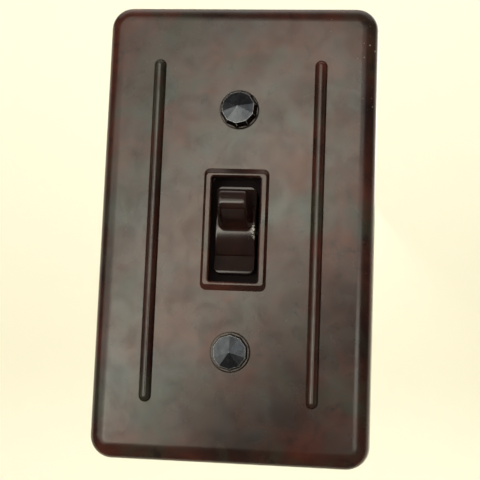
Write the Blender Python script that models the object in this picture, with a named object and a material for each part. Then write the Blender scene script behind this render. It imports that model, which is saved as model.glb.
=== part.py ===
"""Single-gang flush tumbler switch: moulded cover plate, facetted cover screws and the toggle mechanism.

Every piece is drawn in face coordinates (x to the right, y up the wall, z out of the wall) and hangs
under the empty "wall_frame", which turns them upright: in world space the face looks towards -Y, +Z is
up, and the origin is the middle of the plate's rim on the wall surface.
"""

import math

import bmesh
import bpy
from mathutils import Matrix, Vector

MM = 0.001
GAP = 0.3 * MM  # between pieces that touch
RUNNING = 0.06 * MM  # radial clearance of a pin in its bore

# Cover plate
PLATE_WIDTH = 69.0 * MM
PLATE_HEIGHT = 115.0 * MM
PLATE_DEPTH = 6.0 * MM
PLATE_WALL = 2.2 * MM
PLATE_CORNER = 5.5 * MM
PLATE_EDGE = (4.2 * MM, 2.9 * MM)  # plan width and depth of the rolled edge, a quarter ellipse
PLATE_DRAFT = 0.35 * MM
BEAD_SPACING = 40.7 * MM
BEAD_LENGTH = 86.0 * MM
BEAD_WIDTH = 3.1 * MM
BEAD_RISE = 1.6 * MM
FRAME_WIDTH = 16.3 * MM
FRAME_HEIGHT = 30.4 * MM
FRAME_CORNER = 1.5 * MM
FRAME_BEVEL = (0.75 * MM, 1.45 * MM)  # plan width of the slope at the sides and at the ends
FRAME_PROFILE = ((0.0, 0.0), (0.84, 0.90), (0.93, 0.97), (1.0, 1.0))  # (share of FRAME_BEVEL, of FRAME_RISE)
FRAME_RISE = 1.0 * MM
OPENING_WIDTH = 12.1 * MM
OPENING_HEIGHT = 26.0 * MM
OPENING_CORNER = 0.9 * MM
OPENING_LIP = 0.4 * MM

# Screws
COVER_SCREW_SPACING = 60.3 * MM
COVER_SHANK = 1.75 * MM
COVER_SCREW_TIP = -8.0 * MM
COVER_HOLE = 2.15 * MM
HEAD_SEAT = 0.1 * MM  # gap between the plate and the head
HEAD_FLANGE = (4.95 * MM, 0.45 * MM)  # radius and thickness of the round foot
HEAD_FACETS = 10
CROWN_BASE = 4.75 * MM
CROWN_TOP = 4.1 * MM
CROWN_SHOULDER = 2.0 * MM
CROWN_APEX = 3.15 * MM
UPPER_TURN, UPPER_LEAN = math.radians(13.4), math.radians(7.0)  # this crown is cocked up and left
LOWER_TURN, LOWER_LEAN = math.radians(19.0), 0.0
LEAN_TOWARDS = math.radians(137.0)
BOX_SCREW_SPACING = 83.3 * MM
BODY_SCREW_Y = 21.5 * MM

# Strap, body and body cover
STRAP_LENGTH = 106.4 * MM
STRAP_THICK = 1.2 * MM
BODY_WIDTH = 33.0 * MM
BODY_HEIGHT = 54.0 * MM
BODY_FRONT = -2.6 * MM
BODY_BACK = -33.3 * MM
BODY_FLOOR = 3.0 * MM
CAVITY_WIDTH = 26.6 * MM
CAVITY_HEIGHT = 34.6 * MM
NOTCH_X = 8.5 * MM
NOTCH_Y = -19.5 * MM
NOTCH_FRONT = -9.5 * MM
STRAP_WINDOW = (13.2 * MM, 27.2 * MM)
EAR_SCORE = (13.9 * MM, 49.0 * MM)  # slot that lets a plaster ear be broken off
BOSS_WIDTH = 9.9 * MM
BOSS_HEIGHT = 21.9 * MM
BOSS_CORNER = 1.5 * MM
BOSS_TOP = 5.0 * MM
BOSS_DISH = ((6.43 * MM, 3.3 * MM), (10.25 * MM, 5.0 * MM))  # (y, z) of its front, from the drum to the rim
COVER_THICK = 2.0 * MM

# Mechanism
THROW = math.radians(18.4)  # lean of the toggle and the rocker at either end of their travel
TOGGLE_PIVOT = -5.0 * MM
ROCKER_PIVOT = -21.8 * MM
DRUM_RADIUS = 10.2 * MM
DRUM_WIDTH = 9.9 * MM
DRUM_HALF_ANGLE = math.radians(58.0)
LEVER_REACH = 21.6 * MM
LEVER_TIP = (6.7 * MM, 4.9 * MM)  # width and thickness
LEVER_FOOT = (7.9 * MM, 6.2 * MM)
FOOT_FLARE = (0.95 * MM, 4.5 * MM)  # how far and how high the foot spreads sideways
FOOT_FILLET = 1.7 * MM
TAIL_REACH = 5.8 * MM
SEAT_REACH = 4.2 * MM
NUB_RADIUS = 1.2 * MM
TOGGLE_PIN = 1.2 * MM
ROCKER_PIN = 1.25 * MM
TOGGLE_HUB = 3.2 * MM
ROCKER_HUB = 2.6 * MM
CHEEK_INNER = 5.6 * MM
CHEEK_THICK = 1.0 * MM
RING_HALF = (12.3 * MM, 13.0 * MM)
RIVET_X = 9.7 * MM
RIVET_Y = 6.5 * MM
SPRING_WIRE = 0.25 * MM
SPRING_RADIUS = 1.75 * MM
SPRING_TURNS = 6
BAR_HALF = 12.3 * MM
BAR_THICK = 0.6 * MM
BAR_LOW, BAR_HIGH = -6.1 * MM, -3.9 * MM
LEG_FACE = -1.0 * MM
CONTACT_X = 10.6 * MM
CONTACT_WIDTH = 3.6 * MM
CONTACT_THICK = 0.5 * MM
CONTACT_FOOT = -26.85 * MM
TERMINAL_FOOT = -27.9 * MM
TERMINAL_X = 12.15 * MM
TERMINAL_WIDTH = 6.4 * MM
TERMINAL_SCREW_Z = -19.5 * MM
CONTACT_RIVET_Y = -13.5 * MM

# name: (colour, roughness, metallic)
FINISHES = {
    "phenolic_brown": ((0.060, 0.026, 0.020), 0.32, 0.0),
    "toggle_brown": ((0.040, 0.020, 0.016), 0.22, 0.0),
    "phenolic_black": ((0.020, 0.017, 0.016), 0.45, 0.0),
    "blued_steel": ((0.030, 0.034, 0.042), 0.28, 0.9),
    "zinc_steel": ((0.52, 0.52, 0.50), 0.38, 1.0),
    "spring_steel": ((0.45, 0.45, 0.46), 0.28, 1.0),
    "brass": ((0.62, 0.44, 0.17), 0.30, 1.0),
    "bronze": ((0.58, 0.31, 0.15), 0.32, 1.0),
    "fibre": ((0.26, 0.10, 0.06), 0.80, 0.0),
}


# ---- outlines -------------------------------------------------------------------------------------


def rounded_rect(width, height, radius, steps=6):
    """Corner arcs of a rounded rectangle, counter-clockwise from the +x side."""
    points = []
    for corner, (sx, sy) in enumerate(((1, 1), (-1, 1), (-1, -1), (1, -1))):
        cx, cy = sx * (width / 2 - radius), sy * (height / 2 - radius)
        for i in range(steps + 1):
            angle = math.pi / 2 * (corner + i / steps)
            points.append((cx + radius * math.cos(angle), cy + radius * math.sin(angle)))
    return points


def circle(radius, sides, centre=(0.0, 0.0), turn=0.0):
    angles = (2 * math.pi * i / sides + turn for i in range(sides))
    return [(centre[0] + radius * math.cos(a), centre[1] + radius * math.sin(a)) for a in angles]


def rounded_polygon(corners, steps=4):
    """Closed outline through (x, y, radius) corners, each rounded by its own radius."""
    points = []
    for i, (x, y, radius) in enumerate(corners):
        here = Vector((x, y))
        before = (Vector(corners[i - 1][:2]) - here).normalized()
        after = (Vector(corners[(i + 1) % len(corners)][:2]) - here).normalized()
        if radius == 0.0:
            points.append(tuple(here))
            continue
        half = before.angle(after) / 2
        centre = here + (before + after).normalized() * (radius / math.sin(half))
        start = here + before * (radius / math.tan(half)) - centre
        end = here + after * (radius / math.tan(half)) - centre
        sweep = start.angle_signed(end)
        for k in range(steps + 1):
            points.append(tuple(centre + Matrix.Rotation(-sweep * k / steps, 2) @ start))
    return points


def strip_outline(path, thickness):
    """Outline of a bent strip of constant thickness whose middle follows path."""
    path = [Vector(p) for p in path]
    runs = [(b - a).normalized() for a, b in zip(path, path[1:])]
    left, right = [], []
    for point, before, after in zip(path, [runs[0], *runs], [*runs, runs[-1]]):
        normal = Vector((-before.y, before.x))
        mitre = (normal + Vector((-after.y, after.x))).normalized()
        reach = mitre * (thickness / 2 / mitre.dot(normal))
        left.append(tuple(point + reach))
        right.append(tuple(point - reach))
    return left + right[::-1]


# ---- solids ---------------------------------------------------------------------------------------


def finish_mesh(bm, matrix=None):
    """Turns a bmesh into a mesh with outward normals, moved by matrix."""
    if matrix is not None:
        bmesh.ops.transform(bm, matrix=matrix, verts=bm.verts)
    bmesh.ops.recalc_face_normals(bm, faces=bm.faces)
    mesh = bpy.data.meshes.new("solid")
    bm.to_mesh(mesh)
    bm.free()
    return mesh


def loft(rings, matrix=None, apex=False):
    """Closed solid through rings of equal length, each a list of (x, y, z); apex closes it in a point."""
    bm = bmesh.new()
    layers = [[bm.verts.new(p) for p in ring] for ring in rings]
    count = len(rings[0])
    for low, high in zip(layers, layers[1:]):
        for i in range(count):
            j = (i + 1) % count
            bm.faces.new((low[i], low[j], high[j], high[i]))
    bm.faces.new(layers[0][::-1])
    if apex:
        top = bm.verts.new(apex)
        for i in range(count):
            bm.faces.new((layers[-1][i], layers[-1][(i + 1) % count], top))
    else:
        bm.faces.new(layers[-1])
    return finish_mesh(bm, matrix)


def flat_ring(outline, z):
    return [(x, y, z) for x, y in outline]


def prism(outline, low, high, matrix=None):
    return loft([flat_ring(outline, low), flat_ring(outline, high)], matrix)


def box(low, high):
    outline = [(low[0], low[1]), (high[0], low[1]), (high[0], high[1]), (low[0], high[1])]
    return prism(outline, low[2], high[2])


def turned(profile, sides=24, matrix=None, turn=0.0):
    """Solid of revolution about z from (radius, z) points, from the lowest to the highest."""
    return loft([flat_ring(circle(r, sides, turn=turn), z) for r, z in profile], matrix)


def fillet_steps(radius, steps=5):
    """(inset, rise) pairs of a quarter round, from its foot to its crown."""
    for i in range(steps + 1):
        angle = math.pi / 2 * i / steps
        yield radius * (1 - math.cos(angle)), radius * math.sin(angle)


ACROSS = Matrix(((0, 0, 1, 0), (1, 0, 0, 0), (0, 1, 0, 0), (0, 0, 0, 1)))  # (y, z) outline, run along x
ALONG_Y = Matrix.Rotation(math.pi / 2, 4, "X")  # a turned piece whose top points to -y


# ---- objects --------------------------------------------------------------------------------------


def clear_scene():
    for obj in list(bpy.data.objects):
        bpy.data.objects.remove(obj, do_unlink=True)


def make_material(name):
    colour, roughness, metallic = FINISHES[name]
    material = bpy.data.materials.get(name) or bpy.data.materials.new(name)
    material.use_nodes = True
    shader = material.node_tree.nodes["Principled BSDF"]
    shader.inputs["Base Color"].default_value = (*colour, 1.0)
    shader.inputs["Roughness"].default_value = roughness
    shader.inputs["Metallic"].default_value = metallic
    return material


def temporary(mesh):
    obj = bpy.data.objects.new("tool", mesh)
    bpy.context.scene.collection.objects.link(obj)
    return obj


def combine(mesh, *steps):
    """Applies Booleans to mesh: each step is ("UNION" or "DIFFERENCE", mesh)."""
    target = temporary(mesh)
    tools = []
    for operation, other in steps:
        tools.append(temporary(other))
        modifier = target.modifiers.new(operation, "BOOLEAN")
        modifier.operation = operation
        modifier.object = tools[-1]
    graph = bpy.context.evaluated_depsgraph_get()
    result = bpy.data.meshes.new_from_object(target.evaluated_get(graph))
    for obj in (target, *tools):
        bpy.data.objects.remove(obj, do_unlink=True)
    return result


def add_node(name, mesh, finish, parent, location=(0, 0, 0), lean=0.0):
    """One named piece; location is its origin in face coordinates, lean its turn about x."""
    mesh.name = name
    mesh.materials.clear()
    mesh.materials.append(make_material(finish))
    mesh.shade_smooth()
    mesh.set_sharp_from_angle(angle=math.radians(35))
    obj = bpy.data.objects.new(name, mesh)
    bpy.context.scene.collection.objects.link(obj)
    obj.parent = parent
    obj.location = location
    obj.rotation_euler = (lean, 0.0, 0.0)
    return obj


# ---- cover plate and its screws -------------------------------------------------------------------


def bead():
    """Half-round bar with round ends, standing on the plate's face."""
    rings = [flat_ring(rounded_rect(BEAD_WIDTH, BEAD_LENGTH, 0.4999 * BEAD_WIDTH, 5), PLATE_DEPTH - 0.5 * MM)]
    for k in range(7):
        angle = math.pi / 2 * k / 6
        inset = 0.49 * BEAD_WIDTH * (1 - math.cos(angle))
        radius = 0.4999 * BEAD_WIDTH - inset
        outline = rounded_rect(BEAD_WIDTH - 2 * inset, BEAD_LENGTH - 2 * inset, radius, 5)
        rings.append(flat_ring(outline, PLATE_DEPTH + BEAD_RISE * math.sin(angle)))
    return loft(rings)


def bead_frame():
    """Flat-topped block round the opening whose sides slope in, with a small round at the top."""
    rings = [flat_ring(rounded_rect(FRAME_WIDTH, FRAME_HEIGHT, FRAME_CORNER, 4), PLATE_DEPTH - 0.5 * MM)]
    for share, rise in FRAME_PROFILE:
        step_x, step_y = FRAME_BEVEL[0] * share, FRAME_BEVEL[1] * share
        outline = rounded_rect(FRAME_WIDTH - 2 * step_x, FRAME_HEIGHT - 2 * step_y, FRAME_CORNER - step_x, 4)
        rings.append(flat_ring(outline, PLATE_DEPTH + FRAME_RISE * rise))
    return loft(rings)


def plate_shell():
    """The plate's outside: slightly drafted sides and a broad rolled edge."""
    rings = [flat_ring(rounded_rect(PLATE_WIDTH, PLATE_HEIGHT, PLATE_CORNER), 0.0)]
    across, deep = PLATE_EDGE
    for k in range(10):
        angle = math.pi / 2 * k / 9
        inset = across * (1 - math.cos(angle))
        inward = 2 * (PLATE_DRAFT + inset)
        outline = rounded_rect(PLATE_WIDTH - inward, PLATE_HEIGHT - inward, PLATE_CORNER - inset)
        rings.append(flat_ring(outline, PLATE_DEPTH - deep + deep * math.sin(angle)))
    return loft(rings)


def plate_hollow():
    """The moulding core behind the plate, with a small fillet in its corner."""
    depth = PLATE_DEPTH - PLATE_WALL
    fillet = 1.2 * MM
    width, height = PLATE_WIDTH - 2 * PLATE_WALL, PLATE_HEIGHT - 2 * PLATE_WALL
    rings = [flat_ring(rounded_rect(width + 1 * MM, height + 1 * MM, 4.0 * MM), -1.0 * MM)]
    for inset, rise in fillet_steps(fillet, 3):
        outline = rounded_rect(width - 2 * inset, height - 2 * inset, 3.5 * MM - inset)
        rings.append(flat_ring(outline, depth - fillet + rise))
    return loft(rings)


def plate_opening():
    """Cutter for the toggle opening, flared into a small lip at the crest of the bead frame."""
    crest = PLATE_DEPTH + FRAME_RISE
    rings = [flat_ring(rounded_rect(OPENING_WIDTH, OPENING_HEIGHT, OPENING_CORNER, 3), 1.0 * MM)]
    for k in range(4):
        angle = math.pi / 2 * k / 3
        grow = 2 * OPENING_LIP * (1 - math.cos(angle))
        outline = rounded_rect(OPENING_WIDTH + grow, OPENING_HEIGHT + grow, OPENING_CORNER + grow / 2, 3)
        rings.append(flat_ring(outline, crest - OPENING_LIP + OPENING_LIP * math.sin(angle)))
    last = [(x, y, crest + 1 * MM) for x, y, _ in rings[-1]]
    return loft(rings + [last])


def cover_plate(parent):
    beads = []
    for side in (-1, 1):
        bar = bead()
        bar.transform(Matrix.Translation((side * BEAD_SPACING / 2, 0, 0)))
        beads.append(("UNION", bar))
    bosses, holes = [], []
    for side in (-1, 1):
        at = Matrix.Translation((0, side * COVER_SCREW_SPACING / 2, 0))
        boss = ((4.6 * MM, STRAP_THICK + GAP), (4.8 * MM, PLATE_DEPTH - PLATE_WALL + 0.5 * MM))
        hole = ((COVER_HOLE, 0.5 * MM), (COVER_HOLE, PLATE_DEPTH + 1 * MM))
        bosses.append(("UNION", turned(boss, matrix=at)))
        holes.append(("DIFFERENCE", turned(hole, matrix=at)))
    mesh = combine(plate_shell(), ("DIFFERENCE", plate_hollow()), *beads, ("UNION", bead_frame()),
                   *bosses, ("DIFFERENCE", plate_opening()), *holes)
    add_node("cover_plate", mesh, "phenolic_brown", parent)


def shank(radius, top, tip, sides=16):
    """Plain screw shank of the thread's outer size, with a chamfered tip."""
    return turned(((0.7 * radius, tip), (radius, tip + 0.4 * radius), (radius, top)), sides)


def cover_screw(name, side, turn, lean, parent):
    """Round foot, facetted crown whose top may be cocked by lean, and a machine-screw shank."""
    seat = PLATE_DEPTH + HEAD_SEAT
    radius, thick = HEAD_FLANGE
    top = seat + CROWN_SHOULDER
    axis = (math.sin(LEAN_TOWARDS), -math.cos(LEAN_TOWARDS), 0)
    cock = Matrix.Rotation(-lean, 4, axis)
    tilt = Matrix.Translation((0, 0, top)) @ cock @ Matrix.Translation((0, 0, -top))
    slide = cock @ Vector((0, 0, CROWN_SHOULDER)) - Vector((0, 0, CROWN_SHOULDER))
    rings = [flat_ring(circle(CROWN_BASE, HEAD_FACETS, turn=turn), seat + 0.5 * thick),
             flat_ring(circle(CROWN_BASE, HEAD_FACETS, turn=turn), seat + thick),
             flat_ring(circle(CROWN_TOP, HEAD_FACETS, turn=turn), top)]
    rings[2] = [tuple(tilt @ Vector(point) + slide) for point in rings[2]]
    crown = loft(rings, apex=tuple(tilt @ Vector((0, 0, seat + CROWN_APEX)) + slide))
    foot = turned(((radius - 0.1 * MM, seat), (radius, seat + 0.1 * MM), (radius, seat + thick)), 40)
    stem = shank(COVER_SHANK, seat + 0.3 * MM, COVER_SCREW_TIP)
    obj = add_node(name, combine(foot, ("UNION", crown), ("UNION", stem)), "blued_steel", parent,
                   (0, side * COVER_SCREW_SPACING / 2, 0))
    obj.data.shade_flat()


def slotted_screw(radius, head, low, high, tip, parent_matrix=None):
    """Pan-head screw: head radius head from z low to high, shank down to tip, driver slot in its top."""
    dome = [(head, low), (head, low + 0.55 * (high - low)), (0.82 * head, high)]
    slot = box((-head * 1.2, -0.4 * MM, high - 0.45 * (high - low)), (head * 1.2, 0.4 * MM, high + 1 * MM))
    mesh = combine(turned(dome, 20), ("UNION", shank(radius, low + 0.2 * MM, tip)), ("DIFFERENCE", slot))
    if parent_matrix is not None:
        mesh.transform(parent_matrix)
    return mesh


# ---- strap, body and their screws -----------------------------------------------------------------


def strap_outline():
    """Outer edge of the strap: wide waist, necks, and a pair of plaster ears at each end."""
    half = STRAP_LENGTH / 2
    waist, neck, ear = 13.0 * MM, 9.5 * MM, 19.0 * MM
    right = [(waist, -17 * MM, 1.5 * MM), (waist, 17 * MM, 1.5 * MM), (neck, 20.5 * MM, 1.5 * MM),
             (neck, 44.6 * MM, 0.8 * MM), (ear, 44.6 * MM, 2.6 * MM), (ear, half - 0.6 * MM, 2.6 * MM),
             (neck, half, 2.5 * MM)]
    upper_left = [(-x, y, r) for x, y, r in right[::-1][:-1]]
    lower_left = [(-x, -y, r) for x, y, r in right[1:]]
    lower_right = [(x, -y, r) for x, y, r in right[::-1][:-1]]
    return rounded_polygon(right[1:] + upper_left + lower_left + lower_right, 3)


def mounting_strap(parent):
    tools = [("DIFFERENCE", prism(rounded_rect(*STRAP_WINDOW, 1.5 * MM, 4), -1 * MM, 2 * MM))]
    for side in (-1, 1):
        tapped = Matrix.Translation((0, side * COVER_SCREW_SPACING / 2, 0))
        collar = ((2.6 * MM, -1.6 * MM), (2.9 * MM, 0.3 * MM))
        tools.append(("UNION", turned(collar, 20, tapped)))
        tools.append(("DIFFERENCE", turned(((2.05 * MM, -3 * MM), (2.05 * MM, 3 * MM)), 20, tapped)))
        oblong = prism(rounded_rect(8.0 * MM, 4.1 * MM, 2.04 * MM, 4), -1 * MM, 2 * MM)
        oblong.transform(Matrix.Translation((0, side * BOX_SCREW_SPACING / 2, 0)))
        tools.append(("DIFFERENCE", oblong))
        for x in (-EAR_SCORE[0], EAR_SCORE[0]):
            score = prism(rounded_rect(1.2 * MM, 3.4 * MM, 0.59 * MM, 3), -1 * MM, 2 * MM)
            score.transform(Matrix.Translation((x, side * EAR_SCORE[1], 0)))
            tools.append(("DIFFERENCE", score))
        bore = turned(((1.8 * MM, -1 * MM), (1.8 * MM, 2 * MM)), 20)
        bore.transform(Matrix.Translation((0, side * BODY_SCREW_Y, 0)))
        tools.append(("DIFFERENCE", bore))
    tools += [("DIFFERENCE", hole) for hole in rivet_holes(-1 * MM, 2 * MM)]
    mesh = combine(prism(strap_outline(), 0.0, STRAP_THICK), *tools)
    add_node("mounting_strap", mesh, "zinc_steel", parent)


def rivet_holes(low, high):
    for x in (-RIVET_X, RIVET_X):
        for y in (-RIVET_Y, RIVET_Y):
            hole = turned(((1.3 * MM, low), (1.3 * MM, high)), 16)
            hole.transform(Matrix.Translation((x, y, 0)))
            yield hole


def boss():
    """Rounded block round the drum; its front dips from a narrow rim at each end to the drum."""
    edge = 0.28 * MM
    rings = [flat_ring(rounded_rect(BOSS_WIDTH, BOSS_HEIGHT, BOSS_CORNER, 4), -GAP - 0.5 * MM)]
    for inset, rise in fillet_steps(edge, 4):
        outline = rounded_rect(BOSS_WIDTH - 2 * inset, BOSS_HEIGHT - 2 * inset, BOSS_CORNER - inset, 4)
        rings.append(flat_ring(outline, BOSS_TOP - edge + rise))
    rim_y, rim_z = BOSS_DISH[-1]
    front = [(y, z) for y, z in BOSS_DISH] + [(rim_y, rim_z + 1 * MM)]
    dish = prism([(-y, z) for y, z in front[::-1]] + front, -10 * MM, 10 * MM, ACROSS)
    return combine(loft(rings), ("DIFFERENCE", dish))


def body_cover(parent):
    """Moulded cover over the cup; its boss fills the plate's opening above and below the drum."""
    top = -GAP
    plate = prism(rounded_rect(BODY_WIDTH, BODY_HEIGHT, 2.5 * MM, 4), top - COVER_THICK, top)
    half_slot = DRUM_WIDTH / 2 + GAP
    drum_way = prism(circle(DRUM_RADIUS + GAP, 64, (0.0, TOGGLE_PIVOT)), -half_slot, half_slot, ACROSS)
    tools = [("UNION", boss()), ("DIFFERENCE", drum_way)]
    cheek = CHEEK_INNER + CHEEK_THICK + GAP
    tools.append(("DIFFERENCE", box((-cheek, -8.8 * MM, -3 * MM), (cheek, 8.8 * MM, top - 1.2 * MM))))
    for side in (-1, 1):
        bore = turned(((1.8 * MM, -4 * MM), (1.8 * MM, 2 * MM)), 20)
        bore.transform(Matrix.Translation((0, side * BODY_SCREW_Y, 0)))
        tools.append(("DIFFERENCE", bore))
    tools += [("DIFFERENCE", hole) for hole in rivet_holes(-4 * MM, 2 * MM)]
    add_node("body_cover", combine(plate, *tools), "phenolic_black", parent)


def switch_body(parent):
    """Moulded cup with solid ends, a terminal notch in each lower corner and ways for the terminals."""
    outer = prism(rounded_rect(BODY_WIDTH, BODY_HEIGHT, 2.5 * MM, 4), BODY_BACK, BODY_FRONT)
    cavity = prism(rounded_rect(CAVITY_WIDTH, CAVITY_HEIGHT, 2.0 * MM, 4), BODY_BACK + BODY_FLOOR, 0.0)
    tools = [("DIFFERENCE", cavity)]
    for side in (-1, 1):
        bore = turned(((1.8 * MM, -17 * MM), (1.8 * MM, 0)), 20)
        bore.transform(Matrix.Translation((0, side * BODY_SCREW_Y, 0)))
        tools.append(("DIFFERENCE", bore))
        near, far = sorted((side * NOTCH_X, side * 20 * MM))
        notch = box((near, -30 * MM, -40 * MM), (far, NOTCH_Y, NOTCH_FRONT))
        tools.append(("DIFFERENCE", notch))
        near, far = sorted((side * (CONTACT_X - 2.2 * MM), side * (CONTACT_X + 2.4 * MM)))
        way = box((near, NOTCH_Y - 1 * MM, TERMINAL_FOOT - 0.8 * MM),
                  (far, -CAVITY_HEIGHT / 2 + 1 * MM, TERMINAL_FOOT + 0.8 * MM))
        tools.append(("DIFFERENCE", way))
        bore = turned(((1.9 * MM, -1 * MM), (1.9 * MM, 2.0 * MM)), 20, ALONG_Y)
        bore.transform(Matrix.Translation((side * TERMINAL_X, NOTCH_Y + 1.9 * MM, TERMINAL_SCREW_Z)))
        tools.append(("DIFFERENCE", bore))
    add_node("switch_body", combine(outer, *tools), "phenolic_black", parent)


def floor_liner(parent):
    low = BODY_BACK + BODY_FLOOR + GAP
    outline = rounded_rect(CAVITY_WIDTH - 2 * GAP, CAVITY_HEIGHT - 2 * GAP, 1.7 * MM, 4)
    sheet = prism(outline, low, low + 0.5 * MM)
    add_node("floor_liner", sheet, "fibre", parent)


def fixings(parent):
    """Body screws, captive box screws and their washers, above and below the opening."""
    for name, side in (("upper", 1), ("lower", -1)):
        low = STRAP_THICK + GAP
        screw = slotted_screw(1.5 * MM, 2.8 * MM, low, low + 1.6 * MM, -15.5 * MM)
        add_node(f"body_screw_{name}", screw, "zinc_steel", parent, (0, side * BODY_SCREW_Y, 0))
        box_y = side * BOX_SCREW_SPACING / 2
        screw = slotted_screw(1.7 * MM, 3.3 * MM, low, low + 1.8 * MM, -19.0 * MM)
        add_node(f"box_screw_{name}", screw, "zinc_steel", parent, (0, box_y, 0))
        disc = turned(((4.3 * MM, -1.1 * MM), (4.3 * MM, -GAP)), 28)
        hole = turned(((2.0 * MM, -2 * MM), (2.0 * MM, 1 * MM)), 20)
        add_node(f"retaining_washer_{name}", combine(disc, ("DIFFERENCE", hole)), "fibre", parent,
                 (0, box_y, 0))


# ---- mechanism ------------------------------------------------------------------------------------


def cheek_outline():
    """Side view (y, z) of a cheek: broad at the ring, narrow round the rocker's pin."""
    top = BODY_FRONT - 0.5 * MM
    return rounded_polygon([(8.5 * MM, top, 0), (7.4 * MM, -9.0 * MM, 1.5 * MM),
                            (3.0 * MM, ROCKER_PIVOT - 2.4 * MM, 1.8 * MM),
                            (-3.0 * MM, ROCKER_PIVOT - 2.4 * MM, 1.8 * MM),
                            (-7.4 * MM, -9.0 * MM, 1.5 * MM), (-8.5 * MM, top, 0)])


def mechanism_frame(parent):
    """Pressed steel cradle: a ring under the cover and two cheeks bent down from it."""
    low, high = BODY_FRONT - 1.0 * MM, BODY_FRONT
    ring = prism(rounded_rect(2 * RING_HALF[0], 2 * RING_HALF[1], 1.5 * MM, 3), low, high)
    window = prism(rounded_rect(2 * CHEEK_INNER, 22 * MM, 0.6 * MM, 3), low - 1 * MM, high + 1 * MM)
    tools = [("DIFFERENCE", window)]
    for side in (-1, 1):
        near, far = sorted((side * CHEEK_INNER, side * (CHEEK_INNER + CHEEK_THICK)))
        tools.append(("UNION", prism(cheek_outline(), near, far, ACROSS)))
    for pivot, radius in ((TOGGLE_PIVOT, TOGGLE_PIN), (ROCKER_PIVOT, ROCKER_PIN)):
        bore = prism(circle(radius + RUNNING, 24, (0.0, pivot)), -9 * MM, 9 * MM, ACROSS)
        tools.append(("DIFFERENCE", bore))
    tools += [("DIFFERENCE", hole) for hole in rivet_holes(-5 * MM, 0)]
    add_node("mechanism_frame", combine(ring, *tools), "zinc_steel", parent)


def frame_rivets(parent):
    """Four rivets that clamp cradle, cover and strap."""
    head, tail = STRAP_THICK + GAP, BODY_FRONT - 1.0 * MM - GAP
    profile = [(1.5 * MM, tail - 0.6 * MM), (1.8 * MM, tail - 0.3 * MM), (1.8 * MM, tail), (1.0 * MM, tail),
               (1.0 * MM, head), (2.0 * MM, head), (1.9 * MM, head + 0.4 * MM), (1.2 * MM, head + 0.8 * MM)]
    spots = [(x, y) for x in (-RIVET_X, RIVET_X) for y in (RIVET_Y, -RIVET_Y)]
    for number, (x, y) in enumerate(spots, 1):
        add_node(f"frame_rivet_{number}", turned(profile, 16), "brass", parent, (x, y, 0))


def pivot_pin(name, radius, head, pivot, parent):
    """Pin across both cheeks, with a head of radius head outside each of them."""
    outer = CHEEK_INNER + CHEEK_THICK + GAP
    half = [(radius, outer), (head, outer), (head, outer + 0.3 * MM), (radius - 0.4 * MM, outer + 0.7 * MM)]
    if head == radius:
        half = half[2:]
    profile = [(r, -z) for r, z in half[::-1]] + half
    across = Matrix.Rotation(math.pi / 2, 4, "Y")
    add_node(name, turned(profile, 24, across), "spring_steel", parent, (0, 0, pivot))


def drum_profile():
    """Side view of the drum: a broad arc that closes the slot, and flanks that run in to the hub."""
    steps = 22
    arc = []
    for i in range(steps + 1):
        angle = DRUM_HALF_ANGLE * (1 - 2 * i / steps)
        arc.append((DRUM_RADIUS * math.sin(angle), DRUM_RADIUS * math.cos(angle)))
    inner = [(-6.2 * MM, 2.6 * MM), (-3.1 * MM, 0.4 * MM), (-2.2 * MM, -2.0 * MM),
             (2.2 * MM, -2.0 * MM), (3.1 * MM, 0.4 * MM), (6.2 * MM, 2.6 * MM)]
    return arc + inner


def handle_rings():
    """Cross-sections of the handle along its axis: flared foot, taper, and a half-round tip."""
    round_tip = LEVER_TIP[1] / 2
    end = LEVER_REACH - round_tip
    start = math.sqrt(DRUM_RADIUS**2 - (LEVER_FOOT[1] / 2 + FOOT_FILLET)**2) - 0.1 * MM
    sections = [(DRUM_RADIUS - 4 * MM, FOOT_FILLET)]
    sections += [(start + FOOT_FILLET - rise, inset) for inset, rise in [*fillet_steps(FOOT_FILLET)][::-1]]
    sections += [(start + (end - start) * share, 0.0) for share in (0.3, 0.42, 0.6, 0.8)]
    sections += [(end + round_tip * math.sin(math.pi / 2 * i / 7), 0.0) for i in range(7)]
    return [flat_ring(handle_section(z, swell, start, end), z) for z, swell in sections]


def handle_section(z, swell, start, end):
    """Outline of the handle at height z; swell widens its thickness on both sides."""
    share = min(max((z - start) / (end - start), 0.0), 1.0)
    width = LEVER_FOOT[0] + (LEVER_TIP[0] - LEVER_FOOT[0]) * share
    thick = LEVER_FOOT[1] + (LEVER_TIP[1] - LEVER_FOOT[1]) * share
    spread, height = FOOT_FLARE
    climb = 1 - min(max((z - start) / height, 0.0), 1.0)
    width += 2 * spread * (1 - math.sqrt(1 - climb**2))
    round_tip = LEVER_TIP[1] / 2
    over = max(z - end, 0.0) / round_tip
    thick = (thick + 2 * swell) * math.sqrt(1 - over**2)
    width -= 0.5 * MM * (1 - math.sqrt(1 - over**2))
    corner = 1.7 * MM + (0.5 * MM - 1.7 * MM) * share
    return rounded_rect(width, thick, min(corner, 0.49 * thick), 4)


def nub(reach, hub, sides=16):
    """(radius, z) points of a stem with a ball end that a spring's end coil sits round."""
    profile = [(2.0 * MM, -hub * 0.6), (1.7 * MM, -hub - 0.2 * MM), (1.0 * MM, -hub - 0.9 * MM)]
    start = -math.acos(1.0 * MM / NUB_RADIUS)
    for i in range(6):
        angle = start + (math.radians(78) - start) * i / 5
        profile.append((NUB_RADIUS * math.cos(angle), -reach - NUB_RADIUS * math.sin(angle)))
    return turned(profile[::-1], sides)


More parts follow.
